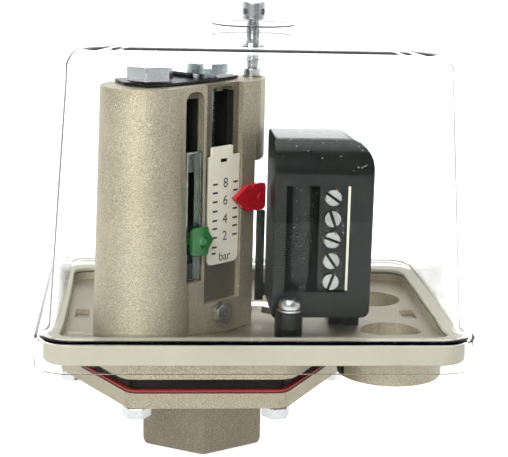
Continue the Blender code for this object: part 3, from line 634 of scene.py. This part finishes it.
# ---- Assembly -----------------------------------------------------------------------------------
clear_cover()
tone(tone(refine("base_housing", 0.5), "dull_black_and_painted_shade", in_neck), "cast_painted_shade", tray_floor)
tone(tone(refine("spring_tower", 0.45), "dull_black_and_painted_shade", inside_tower), "cast_shaded", recess_floor)
tone(refine("pressure_flange", 0.5), "cast_painted_shade", on_port)
refine("cover_seal", 0.8, 3)
tone(refine("switch_block", 0.35, 3), "dull_black_and_painted_shade", block_side)
refine("terminal_strip", 0.15)
refine("guide_bar", 0.3)
refine("lock_plate", 0.12)
refine("scale_plate", 0.15)
refine("pointer_guide", 0.12, finish="guide_steel")
refine("green_pointer", 0.35, 3)
refine("red_pointer", 0.35, 3)
refine("main_adjusting_screw", 0.35)
refine("differential_screw", 0.2, finish="blue_zinc")
refine("tower_bolt", 0.3)
refine("cover_screw", 0.12)
refine("screw_collar", 0.15)
refine("block_screw", 0.12)
refine("block_screw_washer", 0.1)
refine("diaphragm", 0.15)
refine("main_spring_nut", 0.25)
refine("differential_nut", 0.2)
refine("rocker_lever", 0.2)
for index in range(1, 7):
    tone(refine("flange_bolt_%d" % index, 0.35), "dull_black_and_painted_shade", bolt_shank)
for index in range(1, 6):
    tone(refine("terminal_screw_%d" % index, 0.08, finish="screw_steel"), "dull_black_and_painted_shade", in_slot)
    refine("terminal_clamp_%d" % index, 0.1)
for name, node in NODES.items():
    for slot in node.material_slots:
        slot.material = MATERIALS[SLOT_OF[name]]
scale_printing()
adjusting_screws()
block("terminal_edge", (28.3, -32.05, 10.2), (29.1, -31.4, 43.6), HOUSING, "scale_card", "base", 0.15)
port_thread()


# ---- Studio -------------------------------------------------------------------------------------
def cyclorama():
    """Pale floor that curves up into a back wall far behind the object."""
    profile = [(-1.2, 0.0), (2.6, 0.0)]
    for step in range(1, 13):
        angle = step * math.pi / 24.0
        profile.append((2.6 + 0.8 * math.sin(angle), 0.8 - 0.8 * math.cos(angle)))
    profile.append((3.4, 2.4))
    bm = bmesh.new()
    rows = [[bm.verts.new((x, y, z - 0.0002)) for y, z in profile] for x in (-2.2, 2.2)]
    for step in range(len(profile) - 1):
        bm.faces.new((rows[0][step], rows[1][step], rows[1][step + 1], rows[0][step + 1]))
    mesh = bpy.data.meshes.new("studio_floor")
    bm.to_mesh(mesh)
    bm.free()
    mesh.shade_smooth()
    floor = bpy.data.objects.new("studio_floor", mesh)
    bpy.context.scene.collection.objects.link(floor)
    t = Tree("studio_floor")
    t.colour(t.ramp(t.noise(3.0, 2.0), [(0.3, (0.90, 0.90, 0.90)), (0.7, (0.93, 0.93, 0.93))]))
    rays = t.node("LightPath")
    place = t.node("SeparateXYZ")
    t.link(t.place, place.inputs["Vector"])
    ahead = t.span(place.outputs["Y"], 0.85, 0.0, -0.25, 0.25)
    dimmed = t.math("ADD", t.math("MULTIPLY", rays.outputs["Is Diffuse Ray"], 0.75),
                    t.math("MULTIPLY", rays.outputs["Is Glossy Ray"], ahead))
    lit = t.span(dimmed, 0.8, 0.0)
    rear = t.span(place.outputs["Y"], 1.0, 2.0, 0.6, 1.4)
    t.link(t.math("MULTIPLY", lit, rear), t.shader.inputs["Emission Strength"])
    t.set(Roughness=0.8)
    t.shader.inputs["Emission Color"].default_value = (1.0, 1.0, 1.0, 1.0)
    mesh.materials.append(t.material)


def area_light(name, place, target, size, power, colour=(1.0, 1.0, 1.0)):
    data = bpy.data.lights.new(name, "AREA")
    data.shape = "RECTANGLE"
    data.size, data.size_y = size
    data.energy = power
    data.color = colour
    lamp = bpy.data.objects.new(name, data)
    bpy.context.scene.collection.objects.link(lamp)
    lamp.location = place
    lamp.rotation_euler = (Vector(target) - Vector(place)).to_track_quat("-Z", "Y").to_euler()


def surroundings():
    """White room behind and above the object, dim in front of it."""
    world = bpy.data.worlds.new("studio")
    bpy.context.scene.world = world
    world.use_nodes = True
    nodes, links = world.node_tree.nodes, world.node_tree.links
    place = nodes.new("ShaderNodeTexCoord")
    parts = nodes.new("ShaderNodeSeparateXYZ")
    ramp = nodes.new("ShaderNodeValToRGB")
    spread = nodes.new("ShaderNodeMapRange")
    links.new(place.outputs["Generated"], parts.inputs["Vector"])
    links.new(parts.outputs["Y"], spread.inputs["Value"])
    spread.inputs["From Min"].default_value = -1.0
    links.new(spread.outputs["Result"], ramp.inputs["Fac"])
    ramp.color_ramp.elements[0].position = 0.40
    ramp.color_ramp.elements[0].color = (0.13, 0.135, 0.14, 1.0)
    ramp.color_ramp.elements[1].position = 0.68
    ramp.color_ramp.elements[1].color = (1.0, 1.0, 1.0, 1.0)
    links.new(ramp.outputs["Color"], nodes["Background"].inputs["Color"])
    nodes["Background"].inputs["Strength"].default_value = 1.0


CAMERA_AT = (-36.81, -465.12, 174.0)
CAMERA_TURN = (4.762, 12.365, 1.453)   # to the right, down and clockwise, in degrees
CAMERA_LENS = 101.69


def camera():
    """Camera a little left of the object and above it, looking slightly down."""
    yaw, pitch, roll = (math.radians(angle) for angle in CAMERA_TURN)
    ahead = Vector((math.sin(yaw) * math.cos(pitch), math.cos(yaw) * math.cos(pitch), -math.sin(pitch)))
    level = Vector((math.cos(yaw), -math.sin(yaw), 0.0))
    above = level.cross(ahead)
    right = level * math.cos(roll) + above * math.sin(roll)
    up = above * math.cos(roll) - level * math.sin(roll)
    data = bpy.data.cameras.new("camera")
    data.lens = CAMERA_LENS
    data.sensor_width = 36.0
    data.sensor_fit = "HORIZONTAL"
    data.clip_start = 0.01
    made = bpy.data.objects.new("camera", data)
    bpy.context.scene.collection.objects.link(made)
    turn = Matrix((right, up, -ahead)).transposed().to_4x4()
    turn.translation = Vector(CAMERA_AT) * MM
    made.matrix_world = turn
    bpy.context.scene.camera = made


cyclorama()
centre = (0.0, 0.0, 0.07)
area_light("key", (-0.35, -0.95, 0.62), centre, (0.6, 0.6), 9.0, (1.0, 0.985, 0.96))
area_light("top", (0.05, 0.1, 1.15), centre, (1.1, 0.8), 4.0)
area_light("fill", (0.95, -0.45, 0.45), centre, (0.5, 0.6), 1.0, (0.96, 0.98, 1.0))
surroundings()
camera()
bpy.context.scene.view_settings.view_transform = "Standard"
bpy.context.view_layer.update()
